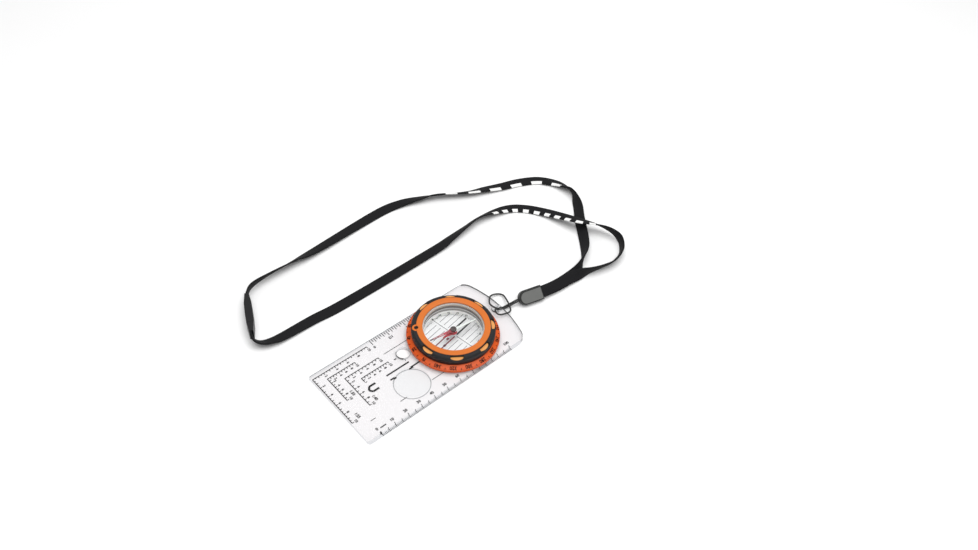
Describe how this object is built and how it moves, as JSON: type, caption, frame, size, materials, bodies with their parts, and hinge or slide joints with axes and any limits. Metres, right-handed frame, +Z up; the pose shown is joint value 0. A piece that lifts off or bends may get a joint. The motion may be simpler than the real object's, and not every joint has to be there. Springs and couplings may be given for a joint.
{
  "type": "baseplate compass",
  "caption": "Clear baseplate compass with a turning dial, sighting lines, map scales and magnifier, on a woven neck lanyard with a breakaway clip.",
  "frame": {"origin": "on the table, under the middle of the baseplate", "axes": "+Y along the direction of travel, +X towards the inch-scale edge, +Z up out of the plate"},
  "size_m": [0.1524, 0.2562, 0.0124],
  "materials": {
    "clear_plastic": "clear polished acrylic",
    "clear_lid": "clear polished acrylic",
    "red_translucent": "translucent gloss",
    "black_rubber": "soft matt",
    "orange_plastic": "satin",
    "seal_plastic": "matt",
    "ring_plastic": "matt",
    "pin_steel": "fine brushed",
    "dark_metal": "dark satin",
    "needle_paint": "satin paint",
    "jewel": "polished",
    "arrow_red": "gloss paint",
    "string_cord": "braided",
    "grey_plastic": "satin",
    "woven_ribbon": "woven",
    "black_plastic": "satin"
  },
  "bodies": {
    "root": {"baseplate": "clear_plastic", "string_loop": "string_cord", "ferrule_front": "grey_plastic", "ferrule_back": "grey_plastic", "ribbon_a": "woven_ribbon", "ribbon_b": "woven_ribbon", "clip_socket": "black_plastic"},
    "dial": {"dial_ring": "red_translucent", "grip_ring": "black_rubber", "bezel_ring": "orange_plastic", "capsule_cup": "clear_plastic", "capsule_seal": "seal_plastic", "capsule_lid": "clear_lid", "pivot_pin": "pin_steel", "retaining_ring": "ring_plastic", "friction_washer": "seal_plastic"},
    "orienting": {"orienting_disc": "clear_lid"},
    "screw": {"adjusting_screw": "dark_metal"},
    "needle": {"needle_blade": "needle_paint", "needle_cap": "dark_metal", "needle_jewel": "jewel"},
    "clinometer": {"clinometer_arrow": "arrow_red"},
    "clip_plug": {"clip_plug": "black_plastic"}
  },
  "joints": [
    {"name": "dial_turn", "type": "hinge", "parent": "root", "child": "dial", "pos_m": [0, -0.02425, 0], "axis": [0, 0, 1], "continuous": true},
    {"name": "screw_turn", "type": "hinge", "parent": "dial", "child": "screw", "pos_m": [0.01331, -0.00525, 0.003], "axis": [0, 0, 1], "range_deg": [-200, 200]},
    {"name": "orienting_turn", "type": "hinge", "parent": "dial", "child": "orienting", "pos_m": [0, -0.02425, 0], "axis": [0, 0, 1], "range_deg": [-38, 38]},
    {"name": "needle_spin", "type": "hinge", "parent": "dial", "child": "needle", "pos_m": [0, -0.02425, 0], "axis": [0, 0, 1], "continuous": true},
    {"name": "clinometer_swing", "type": "hinge", "parent": "dial", "child": "clinometer", "pos_m": [0, -0.02425, 0], "axis": [0, 0, 1], "continuous": true},
    {"name": "clip_release", "type": "slide", "parent": "root", "child": "clip_plug", "axis": [-0.891, 0.454, 0], "range_m": [0, 0.01], "deforming": ["ribbon_a"]}
  ],
  "couplings": [
    {"joint": "screw_turn", "follows": "orienting_turn", "ratio": -5.22}
  ]
}
